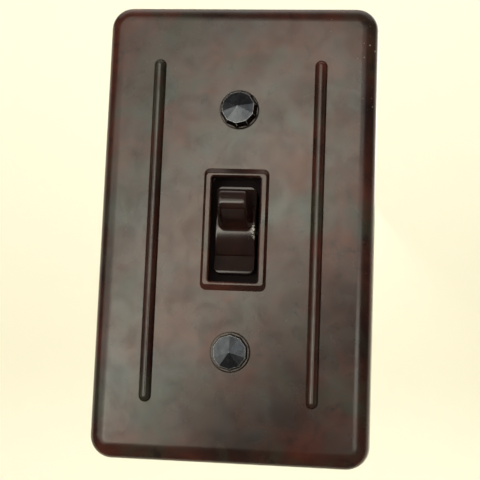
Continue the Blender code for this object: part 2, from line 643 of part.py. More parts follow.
def toggle_lever(parent):
    drum = prism(drum_profile(), -DRUM_WIDTH / 2, DRUM_WIDTH / 2, ACROSS)
    hub = prism(circle(TOGGLE_HUB, 28), -5.3 * MM, 5.3 * MM, ACROSS)
    bore = prism(circle(TOGGLE_PIN + RUNNING, 24), -9 * MM, 9 * MM, ACROSS)
    mesh = combine(drum, ("UNION", hub), ("UNION", loft(handle_rings())),
                   ("UNION", nub(TAIL_REACH, TOGGLE_HUB)), ("DIFFERENCE", bore))
    add_node("toggle_lever", mesh, "toggle_brown", parent, (0, 0, TOGGLE_PIVOT), -THROW)


def rocker(parent):
    """Insulating contact carrier: hub, spring nub above and a flat leg below."""
    hub = prism(circle(ROCKER_HUB, 24), -5.2 * MM, 5.2 * MM, ACROSS)
    leg = box((-5.0 * MM, LEG_FACE, BAR_LOW), (5.0 * MM, 1.3 * MM, -1.0 * MM))
    bore = prism(circle(ROCKER_PIN + RUNNING, 24), -9 * MM, 9 * MM, ACROSS)
    seat = nub(SEAT_REACH, ROCKER_HUB)
    seat.transform(Matrix.Rotation(math.pi, 4, "X"))
    tools = [("UNION", leg), ("UNION", seat), ("DIFFERENCE", bore)]
    for x in (-3 * MM, 3 * MM):
        tools.append(("DIFFERENCE", turned(((1.1 * MM, -3 * MM), (1.1 * MM, 3 * MM)), 14, rivet_place(x))))
    add_node("rocker", combine(hub, *tools), "fibre", parent, (0, 0, ROCKER_PIVOT), -THROW)


def rivet_place(x):
    """Places a turned rivet in the rocker's leg, its head towards -y."""
    return Matrix.Translation((x, 0, (BAR_LOW + BAR_HIGH) / 2)) @ ALONG_Y


def bridge(parent):
    """Bronze bar across the rocker's leg and the two rivets that hold it."""
    outer = LEG_FACE - GAP
    bar = box((-BAR_HALF, outer - BAR_THICK, BAR_LOW), (BAR_HALF, outer, BAR_HIGH))
    tools = [("DIFFERENCE", turned(((1.1 * MM, -1 * MM), (1.1 * MM, 4 * MM)), 14, rivet_place(x)))
             for x in (-3 * MM, 3 * MM)]
    place = {"parent": parent, "location": (0, 0, ROCKER_PIVOT), "lean": -THROW}
    add_node("bridge_contact", combine(bar, *tools), "bronze", **place)
    head, tail = -outer + BAR_THICK + 0.15 * MM, -1.3 * MM - 0.15 * MM
    profile = [(1.3 * MM, tail - 0.5 * MM), (1.5 * MM, tail), (0.8 * MM, tail), (0.8 * MM, head),
               (1.5 * MM, head), (1.1 * MM, head + 0.5 * MM)]
    for name, x in (("left", -3 * MM), ("right", 3 * MM)):
        add_node(f"bridge_rivet_{name}", turned(profile, 14, rivet_place(x)), "brass", **place)


def spring_line():
    """Ends of the spring at rest, and the point on the centre plane that it tips about."""
    lean = Vector((math.sin(THROW), math.cos(THROW)))
    tail = Vector((0, TOGGLE_PIVOT)) - TAIL_REACH * lean
    seat = Vector((0, ROCKER_PIVOT)) + SEAT_REACH * lean
    centre = tail.lerp(seat, -tail.x / (seat.x - tail.x))
    return tail, seat, centre


def overcentre_spring(parent):
    """Helical compression spring between the toggle's nub and the rocker's nub."""
    tail, seat, centre = spring_line()
    lean = math.atan2(seat.x - tail.x, tail.y - seat.y)
    high = (tail - centre).length - 0.35 * MM
    low = -((seat - centre).length - 0.35 * MM)
    per_turn, ring = 14, 6
    count = SPRING_TURNS * per_turn
    rings = []
    for i in range(count + 1):
        angle = 2 * math.pi * i / per_turn
        share = i / count
        climb = low + (high - low) * share
        out = Vector((math.cos(angle), math.sin(angle), 0))
        tangent = Vector((-math.sin(angle), math.cos(angle), (high - low) / count * per_turn
                          / (2 * math.pi * SPRING_RADIUS))).normalized()
        side = tangent.cross(out)
        middle = out * SPRING_RADIUS + Vector((0, 0, climb))
        rings.append([tuple(middle + SPRING_WIRE * (math.cos(a) * out + math.sin(a) * side))
                      for a in (2 * math.pi * k / ring for k in range(ring))])
    add_node("overcentre_spring", loft(rings), "spring_steel", parent, (0, 0, centre.y), lean)


def from_rocker(point):
    """A (y, z) point of the leaning rocker in face coordinates."""
    turned_point = Matrix.Rotation(-THROW, 3, "X") @ Vector((0, *point))
    return turned_point.y, ROCKER_PIVOT + turned_point.z


def contacts(parent):
    """Fixed contact springs, terminal plates, their rivets and the terminal screws."""
    face = LEG_FACE - GAP - BAR_THICK - GAP - CONTACT_THICK / 2
    top = from_rocker((face, BAR_HIGH + 0.5 * MM))
    bend = from_rocker((face, BAR_LOW + 0.1 * MM))
    spring_path = [(-15.6 * MM, CONTACT_FOOT), (bend[0], CONTACT_FOOT), top]
    for name, side in (("left", -1), ("right", 1)):
        near, far = sorted((side * (CONTACT_X - CONTACT_WIDTH / 2), side * (CONTACT_X + CONTACT_WIDTH / 2)))
        hole = turned(((1.1 * MM, -32 * MM), (1.1 * MM, -22 * MM)), 14)
        hole.transform(Matrix.Translation((side * CONTACT_X, CONTACT_RIVET_Y, 0)))
        blade = prism(strip_outline(spring_path, CONTACT_THICK), near, far, ACROSS)
        add_node(f"fixed_contact_{name}", combine(blade, ("DIFFERENCE", hole)), "bronze", parent)
        foot = prism(strip_outline([(-11.5 * MM, TERMINAL_FOOT), (-20.3 * MM, TERMINAL_FOOT),
                                    (-20.3 * MM, -24 * MM)], 1 * MM), near, far, ACROSS)
        inner, outer = sorted(side * (TERMINAL_X + edge * TERMINAL_WIDTH / 2) for edge in (-1, 1))
        tab = box((inner, -20.8 * MM, -25.5 * MM), (outer, -19.8 * MM, -13.5 * MM))
        bore = turned(((1.9 * MM, -3 * MM), (1.9 * MM, 3 * MM)), 20, ALONG_Y)
        bore.transform(Matrix.Translation((side * TERMINAL_X, -20.3 * MM, TERMINAL_SCREW_Z)))
        plate = combine(foot, ("UNION", tab), ("DIFFERENCE", bore), ("DIFFERENCE", hole.copy()))
        add_node(f"terminal_plate_{name}", plate, "brass", parent)
        contact_rivet(f"contact_rivet_{name}", side, parent)
        screw = slotted_screw(1.6 * MM, 3.0 * MM, 0.0, 2.0 * MM, -2.6 * MM, ALONG_Y)
        add_node(f"terminal_screw_{name}", screw, "brass", parent,
                 (side * TERMINAL_X, -20.8 * MM - GAP, TERMINAL_SCREW_Z))


def contact_rivet(name, side, parent):
    head, tail = CONTACT_FOOT + CONTACT_THICK / 2 + 0.2 * MM, TERMINAL_FOOT - 0.5 * MM - 0.2 * MM
    profile = [(1.2 * MM, tail - 0.4 * MM), (1.5 * MM, tail), (0.8 * MM, tail), (0.8 * MM, head),
               (1.6 * MM, head), (1.1 * MM, head + 0.6 * MM)]
    add_node(name, turned(profile, 14), "brass", parent, (side * CONTACT_X, CONTACT_RIVET_Y, 0))


def main():
    clear_scene()
    wall = bpy.data.objects.new("wall_frame", None)
    bpy.context.scene.collection.objects.link(wall)
    wall.rotation_euler = (math.pi / 2, 0, 0)
    cover_plate(wall)
    cover_screw("cover_screw_upper", 1, UPPER_TURN, UPPER_LEAN, wall)
    cover_screw("cover_screw_lower", -1, LOWER_TURN, LOWER_LEAN, wall)
    mounting_strap(wall)
    body_cover(wall)
    switch_body(wall)
    floor_liner(wall)
    fixings(wall)
    mechanism_frame(wall)
    frame_rivets(wall)
    pivot_pin("toggle_pin", TOGGLE_PIN, TOGGLE_PIN, TOGGLE_PIVOT, wall)
    pivot_pin("rocker_pin", ROCKER_PIN, ROCKER_PIN + 0.8 * MM, ROCKER_PIVOT, wall)
    toggle_lever(wall)
    rocker(wall)
    bridge(wall)
    overcentre_spring(wall)
    contacts(wall)
    bpy.context.view_layer.update()


main()
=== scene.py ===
"""Looks of the flush tumbler switch: fine mouldings, facetted screws, threads, spring and materials.

Everything is placed from the design's frame: X to the right, Y into the wall, Z up. Outlines are drawn in
face coordinates (x to the right, y up the wall, z out of the wall) and turned upright by UPRIGHT.
"""

import math

import bmesh
import bpy
from mathutils import Matrix, Vector


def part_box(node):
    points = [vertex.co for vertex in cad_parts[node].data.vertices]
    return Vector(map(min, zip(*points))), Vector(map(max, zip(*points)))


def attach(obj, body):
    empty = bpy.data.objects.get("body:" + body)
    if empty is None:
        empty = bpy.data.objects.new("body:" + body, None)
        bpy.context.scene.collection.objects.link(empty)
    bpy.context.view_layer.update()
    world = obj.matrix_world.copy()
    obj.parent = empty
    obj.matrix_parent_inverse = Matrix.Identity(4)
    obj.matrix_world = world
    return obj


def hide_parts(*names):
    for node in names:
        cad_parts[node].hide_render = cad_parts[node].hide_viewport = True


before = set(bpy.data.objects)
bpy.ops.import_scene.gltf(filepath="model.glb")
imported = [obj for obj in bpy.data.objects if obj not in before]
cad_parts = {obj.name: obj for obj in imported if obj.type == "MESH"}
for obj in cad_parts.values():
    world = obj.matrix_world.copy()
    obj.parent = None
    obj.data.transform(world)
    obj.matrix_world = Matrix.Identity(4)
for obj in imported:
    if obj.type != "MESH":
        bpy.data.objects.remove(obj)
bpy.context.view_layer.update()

MM = 0.001
UPRIGHT = Matrix.Rotation(math.pi / 2, 4, "X")  # face coordinates to the row frame
ACROSS = Matrix(((0, 0, 1, 0), (1, 0, 0, 0), (0, 1, 0, 0), (0, 0, 0, 1)))  # (y, z) outline, run along x

# Camera and stage
CAMERA_PLACE = Vector((23.28, -228.02, -25.78)) * MM
CAMERA_AIM = Vector((1.4, -6.0, -2.6)) * MM
CAMERA_ROLL = math.radians(2.2)
CAMERA_LENS = 68.2
FLOOR_DROP = 250.0 * MM  # floor below the plate's lower edge
FLOOR_EDGE = 0.05  # the floor in front of this line doesn't show in reflections
SWEEP_BACK = 0.75
SWEEP_RADIUS = 0.25
SWEEP_HALF_WIDTH = 2.5
SWEEP_HEIGHT = 1.6
STAGE_COLOUR = (0.80, 0.79, 0.655)
SURROUND_RADIUS = 1.95
SURROUND_SPAN = (-0.5, 3.0)  # lowest and highest edge, from the floor
SURROUND_SIDES = 64
SURROUND_COLOUR = (0.60, 0.585, 0.48)

# Sizes of the frame's design, with a finer frame profile, opening, beads, lower crown and handle tip
PLATE_WALL = 2.2 * MM
PLATE_CORNER = 5.5 * MM
PLATE_EDGE = (4.2 * MM, 2.9 * MM)  # plan width and depth of the rolled edge, a quarter ellipse
PLATE_DRAFT = 0.35 * MM
PLATE_DEPTH = 6.0 * MM
HOLLOW_CORNER = 3.5 * MM
HOLLOW_FILLET = 1.2 * MM
BEAD_SPACING = 40.7 * MM
BEAD_SHIFT = -0.2 * MM  # the pair's middle from the plate's, as moulded
BEAD_LENGTH = 86.0 * MM
BEAD_WIDTH = 3.1 * MM
BEAD_RISE = 1.6 * MM
BEAD_CREST = 1.4  # 1 is an ellipse, more is a narrower crest
FRAME_SIZE = (16.3 * MM, 30.4 * MM)
FRAME_CORNER = 1.5 * MM
FRAME_BEVEL = (0.75 * MM, 1.45 * MM)  # plan width of the slope at the sides and at the ends
# (share of FRAME_BEVEL, share of FRAME_RISE)
FRAME_PROFILE = ((0.0, 0.0), (0.06, 0.03), (0.80, 0.87), (0.88, 0.94), (0.95, 0.985), (1.0, 1.0))
FRAME_RISE = 1.0 * MM
OPENING_SIZE = (12.1 * MM, 26.0 * MM)
OPENING_CORNER = 0.5 * MM
OPENING_LIP = 0.52 * MM
COVER_SCREW_Y = 30.15 * MM
BODY_SCREW_Y = 21.5 * MM
STRAP_THICK = 1.2 * MM
GAP = 0.3 * MM
SCREW_POST = (4.6 * MM, 4.8 * MM)  # radius at the strap and at the plate's hollow
SCREW_HOLE = 2.15 * MM
HEAD_SEAT = 0.1 * MM
HEAD_FLANGE = (4.95 * MM, 0.45 * MM)  # radius and thickness of the round foot
HEAD_FACETS = 10
HEAD_EDGE = ((0.3 * MM, 0.0), (0.05 * MM, 0.08 * MM), (0.0, 0.2 * MM), (0.05 * MM, 0.36 * MM),
             (0.3 * MM, HEAD_FLANGE[1]))  # the flange's rim: inset from its radius, rise above its seat
SHANK_RADIUS = 1.75 * MM
CROWN_BASES = (4.75 * MM, 4.52 * MM)  # the upper and the lower screw
CROWN_TOP = 4.1 * MM
CROWN_SHOULDER = 2.0 * MM
CROWN_APEX = 3.15 * MM
UPPER_TURN, UPPER_LEAN = math.radians(13.4), math.radians(7.0)
LOWER_TURN, LOWER_LEAN = math.radians(19.0), 0.0
LEAN_TOWARDS = math.radians(137.0)
BODY_SIZE = (33.0 * MM, 54.0 * MM)
BODY_CORNER = 2.5 * MM
BOSS_SIZE = (9.9 * MM, 21.9 * MM)
BOSS_CORNER = 1.5 * MM
BOSS_TOP = 5.0 * MM
BOSS_EDGE = 0.28 * MM  # radius of the rims' outer edge
BOSS_DISH = ((6.43 * MM, 3.3 * MM), (10.25 * MM, 5.0 * MM))
COVER_THICK = 2.0 * MM
COVER_RECESS = (8.8 * MM, 1.2 * MM)  # half length of the recess underneath, and thickness left above it
SCREW_BORE = 1.8 * MM
RIVET_BORE = 1.3 * MM
CHEEK_OUTER = 6.6 * MM
RIVET_PLACE = (9.7 * MM, 6.5 * MM)
THROW = math.radians(18.4)
TOGGLE_PIVOT = -5.0 * MM
ROCKER_PIVOT = -21.8 * MM
DRUM_RADIUS = 10.2 * MM
DRUM_WIDTH = 9.9 * MM
DRUM_HALF_ANGLE = math.radians(58.0)
DRUM_FLANK = ((6.2 * MM, 2.6 * MM), (3.1 * MM, 0.4 * MM), (2.2 * MM, -2.0 * MM))  # (y, z) to the hub
LEVER_REACH = 21.6 * MM
LEVER_TIP = (6.7 * MM, 4.9 * MM)  # width and thickness
LEVER_FOOT = (7.9 * MM, 6.2 * MM)
FOOT_FLARE = (0.95 * MM, 4.5 * MM)  # how far and how high the foot spreads sideways
LEVER_CORNER = (1.7 * MM, 0.5 * MM)  # at the foot and at the tip
FOOT_FILLET = 1.7 * MM
TIP_BLUNTNESS = 3.0  # exponent of the tip's rounding: 2 is a circle, more is flatter
TIP_NARROWING = 0.5 * MM
TIP_TRIM = 0.2 * MM  # keeps the blunter tip inside the design's round one
HUB_RADIUS = 3.2 * MM
HUB_WIDTH = 10.6 * MM
TAIL_REACH = 5.8 * MM
SEAT_REACH = 4.2 * MM
NUB_RADIUS = 1.2 * MM
TOGGLE_BORE = 1.26 * MM
TOGGLE_SOFTENING = (0.16 * MM, 4)  # voxel and smoothing steps that round the moulding's edges
SPRING_WIRE = 0.25 * MM
SPRING_RADIUS = 1.75 * MM
SPRING_TURNS = 6
SPRING_INSET = 0.35 * MM  # from the middle of each nub's ball to the coil's end


# ---- outlines and solids --------------------------------------------------------------------------


def rounded_rect(width, height, radius, steps=10):
    """Corner arcs of a rounded rectangle, counter-clockwise from the +x side."""
    points = []
    for corner, (sx, sy) in enumerate(((1, 1), (-1, 1), (-1, -1), (1, -1))):
        cx, cy = sx * (width / 2 - radius), sy * (height / 2 - radius)
        for i in range(steps + 1):
            angle = math.pi / 2 * (corner + i / steps)
            points.append((cx + radius * math.cos(angle), cy + radius * math.sin(angle)))
    return points


def circle(radius, sides, centre=(0.0, 0.0), turn=0.0):
    angles = (2 * math.pi * i / sides + turn for i in range(sides))
    return [(centre[0] + radius * math.cos(a), centre[1] + radius * math.sin(a)) for a in angles]


def at_height(outline, z):
    return [(x, y, z) for x, y in outline]


def finish_mesh(bm, matrix=None):
    if matrix is not None:
        bmesh.ops.transform(bm, matrix=matrix, verts=bm.verts)
    bmesh.ops.recalc_face_normals(bm, faces=bm.faces)
    mesh = bpy.data.meshes.new("solid")
    bm.to_mesh(mesh)
    bm.free()
    return mesh


def loft(rings, matrix=None, apex=None):
    """Closed solid through rings of equal length; apex closes the last one in a point."""
    bm = bmesh.new()
    layers = [[bm.verts.new(p) for p in ring] for ring in rings]
    count = len(rings[0])
    for low, high in zip(layers, layers[1:]):
        for i in range(count):
            j = (i + 1) % count
            bm.faces.new((low[i], low[j], high[j], high[i]))
    bm.faces.new(layers[0][::-1])
    if apex is None:
        bm.faces.new(layers[-1])
    else:
        top = bm.verts.new(apex)
        for i in range(count):
            bm.faces.new((layers[-1][i], layers[-1][(i + 1) % count], top))
    return finish_mesh(bm, matrix)


def prism(outline, low, high, matrix=None):
    return loft([at_height(outline, low), at_height(outline, high)], matrix)


def box(low, high):
    outline = [(low[0], low[1]), (high[0], low[1]), (high[0], high[1]), (low[0], high[1])]
    return prism(outline, low[2], high[2])


def turned(profile, sides=48):
    """Solid of revolution about z through (radius, z) points, lowest first."""
    return loft([at_height(circle(r, sides), z) for r, z in profile])


def moved(mesh, x=0.0, y=0.0):
    mesh.transform(Matrix.Translation((x, y, 0)))
    return mesh


def linked(name, data):
    """New object in the scene."""
    obj = bpy.data.objects.new(name, data)
    bpy.context.scene.collection.objects.link(obj)
    return obj


def evaluated_mesh(obj):
    graph = bpy.context.evaluated_depsgraph_get()
    return bpy.data.meshes.new_from_object(obj.evaluated_get(graph))


def combine(mesh, *steps):
    """Applies Booleans to mesh: each step is ("UNION" or "DIFFERENCE", mesh)."""
    target = linked("tool", mesh)
    tools = []
    for operation, other in steps:
        tools.append(linked("tool", other))
        modifier = target.modifiers.new(operation, "BOOLEAN")
        modifier.operation = operation
        modifier.object = tools[-1]
    result = evaluated_mesh(target)
    for obj in (target, *tools):
        bpy.data.objects.remove(obj, do_unlink=True)
    return result


def remeshed(mesh, voxel, smoothing):
    """The same solid with its edges softened as a moulding's are."""
    obj = linked("tool", mesh)
    remesh = obj.modifiers.new("voxels", "REMESH")
    remesh.mode = "VOXEL"
    remesh.voxel_size = voxel
    smooth = obj.modifiers.new("soften", "SMOOTH")
    smooth.factor = 0.5
    smooth.iterations = smoothing
    result = evaluated_mesh(obj)
    bpy.data.objects.remove(obj, do_unlink=True)
    return result


def add_piece(name, mesh, material, body, replaces=(), place=UPRIGHT, sharp=30.0):
    """One visible piece; place takes it from face coordinates to the row frame."""
    mesh.transform(place)
    mesh.name = name
    mesh.materials.clear()
    mesh.materials.append(material)
    mesh.shade_smooth()
    mesh.set_sharp_from_angle(angle=math.radians(sharp))
    obj = linked(name, mesh)
    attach(obj, body)
    if replaces:
        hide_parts(*replaces)
    return obj


def soften(obj, width, segments, turn):
    """Rounds a piece's edges a little, where its faces meet at more than turn degrees."""
    weld = obj.modifiers.new("weld", "WELD")
    weld.merge_threshold = 1e-6
    bevel = obj.modifiers.new("soft_edge", "BEVEL")
    bevel.width = width
    bevel.segments = segments
    bevel.limit_method = "ANGLE"
    bevel.angle_limit = math.radians(turn)
    bevel.harden_normals = True


def weight_normals(obj):
    """Large flat faces keep their own normal, so that fillets beside them shade evenly."""
    modifier = obj.modifiers.new("flat_faces", "WEIGHTED_NORMAL")
    modifier.mode = "FACE_AREA"
    modifier.weight = 100
    modifier.keep_sharp = True


# ---- materials ------------------------------------------------------------------------------------


class Material:
    """A Principled material with short calls for the nodes round it."""

    def __init__(self, name, **constants):
        self.material = bpy.data.materials.new(name)
        self.material.use_nodes = True
        self.tree = self.material.node_tree
        self.shader = self.tree.nodes["Principled BSDF"]
        for key, value in constants.items():
            socket = self.shader.inputs[key.replace("_", " ").title().replace("Ior", "IOR")]
            socket.default_value = (*value, 1.0) if isinstance(value, tuple) else value
        self.place = self.node("ShaderNodeTexCoord").outputs["Object"]

    def node(self, kind, **settings):
        made = self.tree.nodes.new(kind)
        for key, value in settings.items():
            setattr(made, key, value)
        return made

    def feed(self, socket, value):
        if isinstance(value, bpy.types.NodeSocket):
            self.tree.links.new(value, socket)
        else:
            socket.default_value = value

    def noise(self, scale, detail=4.0, roughness=0.55, distortion=0.0, stretch=None):
        """Noise value; scale is in features per metre, stretch scales each axis."""
        made = self.node("ShaderNodeTexNoise")
        self.feed(made.inputs["Vector"], self.stretched(stretch) if stretch else self.place)
        for key, value in (("Scale", scale), ("Detail", detail), ("Roughness", roughness),
                           ("Distortion", distortion)):
            made.inputs[key].default_value = value
        return made.outputs["Fac"]

    def cells(self, scale):
        """Distance from the nearest of many scattered points, in parts of their spacing."""
        made = self.node("ShaderNodeTexVoronoi", feature="F1")
        self.feed(made.inputs["Vector"], self.place)
        made.inputs["Scale"].default_value = scale
        return made.outputs["Distance"]

    def stretched(self, factors):
        made = self.node("ShaderNodeMapping")
        self.feed(made.inputs["Vector"], self.place)
        made.inputs["Scale"].default_value = factors
        return made.outputs["Vector"]

    def ramp(self, value, *stops):
        """Colour ramp of (position, colour or grey) stops."""
        made = self.node("ShaderNodeValToRGB")
        elements = made.color_ramp.elements
        while len(elements) < len(stops):
            elements.new(0.5)
        for element, (position, colour) in zip(elements, stops):
            element.position = position
            element.color = (*colour, 1.0) if isinstance(colour, tuple) else (colour,) * 3 + (1.0,)
        self.feed(made.inputs["Fac"], value)
        return made.outputs["Color"]

    def mix(self, factor, first, second, blend="MIX"):
        made = self.node("ShaderNodeMix", data_type="RGBA", blend_type=blend)
        self.feed(made.inputs[0], factor)
        self.feed(made.inputs[6], (*first, 1.0) if isinstance(first, tuple) else first)
        self.feed(made.inputs[7], (*second, 1.0) if isinstance(second, tuple) else second)
        return made.outputs[2]

    def math(self, operation, first, second=0.0, third=0.0):
        made = self.node("ShaderNodeMath", operation=operation)
        for socket, value in zip(made.inputs, (first, second, third)):
            self.feed(socket, value)
        return made.outputs[0]

    def scaled(self, value, low, high):
        """value from 0 to 1 spread between low and high."""
        return self.math("MULTIPLY_ADD", value, high - low, low)

    def axis(self, name):
        """Object coordinate along X, Y or Z, in metres."""
        made = self.node("ShaderNodeSeparateXYZ")
        self.feed(made.inputs[0], self.place)
        return made.outputs[name]

    def climb(self, value, start, end):
        """0 where value is start and 1 where it is end, going on in a straight line beyond both."""
        return self.math("MULTIPLY_ADD", value, 1 / (end - start), -start / (end - start))

    def clamped(self, value):
        return self.ramp(value, (0.0, 0.0), (1.0, 1.0))

    def edges(self, spread):
        """How convex the surface is: 0 on flats, towards 1 on edges; spread is in metres."""
        bevel = self.node("ShaderNodeBevel", samples=4)
        bevel.inputs["Radius"].default_value = spread
        geometry = self.node("ShaderNodeNewGeometry")
        dot = self.node("ShaderNodeVectorMath", operation="DOT_PRODUCT")
        self.feed(dot.inputs[0], bevel.outputs["Normal"])
        self.feed(dot.inputs[1], geometry.outputs["Normal"])
        return self.math("SUBTRACT", 1.0, dot.outputs["Value"])

    def colour(self, value):
        self.feed(self.shader.inputs["Base Color"], value)

    def roughness(self, value):
        self.feed(self.shader.inputs["Roughness"], value)

    def tint(self, value):
        self.feed(self.shader.inputs["Specular Tint"], value)

    def bump(self, height, distance, under=None):
        """Relief of a height from 0 to 1 times distance, over the relief under it if there is one."""
        made = self.node("ShaderNodeBump")
        made.inputs["Strength"].default_value = 1.0
        made.inputs["Distance"].default_value = distance
        self.feed(made.inputs["Height"], height)
        if under is not None:
            self.feed(made.inputs["Normal"], under)
        self.feed(self.shader.inputs["Normal"], made.outputs["Normal"])
        return made.outputs["Normal"]


def plate_phenolic():
    """Polished wood-flour phenolic: red-brown and olive clouds, a few pale specks, grit at one corner."""
    m = Material("plate_phenolic", ior=1.56)
    base = m.ramp(m.noise(52, 4, 0.5, 0.4), (0.34, (0.016, 0.006, 0.005)), (0.5, (0.036, 0.011, 0.008)),
                  (0.68, (0.078, 0.021, 0.013)))
    olive = m.ramp(m.noise(80, 3, 0.5, 0.6), (0.48, 0.0), (0.66, 0.88))
    clouded = m.mix(olive, base, (0.026, 0.026, 0.018))
    soot = m.ramp(m.noise(170, 4, 0.6, 0.4), (0.56, 0.0), (0.71, 0.72))
    dirty = m.mix(soot, clouded, (0.006, 0.004, 0.004))
    specks = m.ramp(m.cells(150), (0.022, 0.8), (0.036, 0.0))
    scarce = m.ramp(m.noise(60, 1, 0.5), (0.60, 0.0), (0.62, 1.0))
    towards_corner = m.math("ADD", m.axis("X"), m.math("MULTIPLY", m.axis("Z"), 0.5))
    corner = m.clamped(m.climb(towards_corner, 44.17 * MM, 60.83 * MM))
    grit = m.math("MULTIPLY", m.ramp(m.cells(700), (0.10, 1.0), (0.17, 0.0)), corner)
    grit = m.math("MULTIPLY", grit, m.ramp(m.noise(330, 2, 0.5), (0.52, 0.0), (0.56, 1.0)))
    dust = m.math("MAXIMUM", m.math("MULTIPLY", specks, scarce), m.math("MULTIPLY", grit, 0.8))
    m.colour(m.mix(dust, dirty, (0.45, 0.43, 0.38)))
    handled = m.scaled(m.noise(40, 5, 0.6, 0.4), 0.08, 0.40)
    rubbed = m.scaled(m.noise(380, 3, 0.6, stretch=(1.0, 1.0, 0.12)), -0.03, 0.03)
    m.roughness(m.math("ADD", m.math("ADD", handled, rubbed), dust))
    sheen = m.ramp(m.noise(95, 3, 0.5, 0.6), (0.29, (1.0, 0.855, 0.79)), (0.71, (0.92, 1.0, 0.975)))
    worn_sheen = m.ramp(m.noise(150, 5, 0.6, 0.8), (0.36, 0.77), (0.58, 1.0))
    m.tint(m.mix(1.0, sheen, worn_sheen, "MULTIPLY"))
    swell = m.bump(m.noise(60, 2, 0.5), 0.06 * MM)
    m.bump(m.noise(2600, 3, 0.6), 0.005 * MM, under=swell)
    return m.material


def toggle_phenolic():
    """Dark phenolic, worn along its edges and chipped at the right end of the handle's foot."""
    m = Material("toggle_phenolic", ior=1.56)
    base = m.ramp(m.noise(160, 5, 0.6, 0.8), (0.36, (0.012, 0.005, 0.0045)), (0.6, (0.022, 0.008, 0.006)),
                  (0.76, (0.040, 0.011, 0.007)))
    worn = m.ramp(m.edges(0.4 * MM), (0.04, 0.0), (0.22, 0.5))
    handled = m.mix(worn, base, (0.050, 0.024, 0.015))
    right_end = m.clamped(m.climb(m.axis("X"), 3.333 * MM, 4.444 * MM))
    off_foot = m.math("ABSOLUTE", m.climb(m.axis("Z"), -0.308 * MM, 1.231 * MM))
    near_foot = m.clamped(m.math("SUBTRACT", 1.6, off_foot))
    scuffed = m.math("MINIMUM", right_end, near_foot)
    chips = m.ramp(m.noise(1300, 3, 0.6, 0.6), (0.56, 0.0), (0.60, 1.0))
    m.colour(m.mix(m.math("MULTIPLY", scuffed, chips), handled, (0.40, 0.38, 0.34)))
    rubbed = m.scaled(m.noise(900, 3, 0.6, stretch=(0.15, 1.0, 1.0)), -0.04, 0.04)
    m.roughness(m.math("ADD", m.scaled(m.noise(240, 4, 0.6), 0.14, 0.24), rubbed))
    m.bump(m.noise(1800, 3, 0.6), 0.008 * MM)
    return m.material


def body_phenolic():
    m = Material("body_phenolic", ior=1.54)
    m.colour(m.ramp(m.noise(260, 5, 0.6, 0.5), (0.35, (0.007, 0.005, 0.0045)), (0.7, (0.016, 0.010, 0.008))))
    m.roughness(m.scaled(m.noise(120, 4, 0.6), 0.22, 0.38))
    m.bump(m.noise(2000, 3, 0.6), 0.008 * MM)
    return m.material


def boss_phenolic():
    """The switch cover: polished where fingers reach the boss; deep in the opening it turns greyer, rougher
    and less reflective, which is painted shade.
    """
    m = Material("boss_phenolic", ior=1.54)
    # painted shade: the deeper in the opening, the greyer, rougher and less reflective the cover
    deep = m.climb(m.axis("Y"), -3.0 * MM, -0.778 * MM)
    painted_recess_shade = m.clamped(m.math("ADD", deep, m.scaled(m.noise(500, 3, 0.5), -0.15, 0.15)))
    shell = m.ramp(m.noise(230, 5, 0.6, 0.5), (0.35, (0.009, 0.0045, 0.004)), (0.7, (0.024, 0.009, 0.006)))
    m.colour(m.mix(painted_recess_shade, shell, (0.016, 0.010, 0.010)))
    m.roughness(m.math("ADD", m.scaled(m.noise(200, 4, 0.6), 0.16, 0.30), m.math("MULTIPLY", painted_recess_shade, 0.5)))
    m.feed(m.shader.inputs["Specular IOR Level"], m.math("MULTIPLY_ADD", painted_recess_shade, -0.36, 0.5))
    m.bump(m.noise(1700, 3, 0.6), 0.008 * MM)
    return m.material


def blued_steel():
    """Blackened steel: brownish on the foot; the crown's facet edges are worn and carry a painted highlight.
    """
    m = Material("blued_steel", metallic=1.0)
    black = m.ramp(m.noise(500, 4, 0.6), (0.35, (0.062, 0.066, 0.074)), (0.7, (0.098, 0.106, 0.116)))
    crown = m.clamped(m.climb(m.axis("Y"), -7.0 * MM, -7.5 * MM))
    # worn facet edges with a painted highlight: pale, half-metallic colour along them
    worn = m.math("MULTIPLY", m.ramp(m.edges(0.17 * MM), (0.012, 0.0), (0.05, 1.0)), crown)
    dark = m.mix(crown, (0.058, 0.050, 0.045), black)
    m.colour(m.mix(worn, dark, (0.82, 0.83, 0.84)))
    m.feed(m.shader.inputs["Metallic"], m.math("SUBTRACT", 1.0, m.math("MULTIPLY", worn, 0.5)))
    m.roughness(m.math("ADD", m.scaled(m.noise(700, 4, 0.6), 0.18, 0.34), m.math("MULTIPLY", worn, 0.15)))
    m.bump(m.noise(2500, 3, 0.6), 0.006 * MM)
    return m.material


def zinc_steel():
    m = Material("zinc_steel", metallic=1.0)
    m.colour(m.ramp(m.noise(150, 6, 0.65, 0.4), (0.35, (0.30, 0.30, 0.29)), (0.65, (0.50, 0.50, 0.48))))
    m.roughness(m.scaled(m.noise(300, 4, 0.6), 0.30, 0.52))
    m.bump(m.noise(1500, 4, 0.6, stretch=(1.0, 1.0, 0.15)), 0.02 * MM)
    return m.material


def spring_steel():
    m = Material("spring_steel", metallic=1.0)
    m.colour(m.ramp(m.noise(500, 3, 0.5), (0.3, (0.34, 0.34, 0.35)), (0.7, (0.52, 0.52, 0.53))))
    m.roughness(m.scaled(m.noise(700, 3, 0.5), 0.18, 0.34))
    return m.material


def brass():
    m = Material("brass", metallic=1.0)
    m.colour(m.ramp(m.noise(350, 5, 0.6, 0.6), (0.32, (0.36, 0.22, 0.075)), (0.65, (0.62, 0.43, 0.17))))
    m.roughness(m.scaled(m.noise(500, 4, 0.6), 0.22, 0.42))
    m.bump(m.noise(2200, 3, 0.6), 0.01 * MM)
    return m.material


def bronze():
    m = Material("bronze", metallic=1.0)
    m.colour(m.ramp(m.noise(300, 5, 0.6, 0.6), (0.32, (0.30, 0.13, 0.06)), (0.65, (0.55, 0.28, 0.13))))
    m.roughness(m.scaled(m.noise(500, 4, 0.6), 0.22, 0.40))
    return m.material


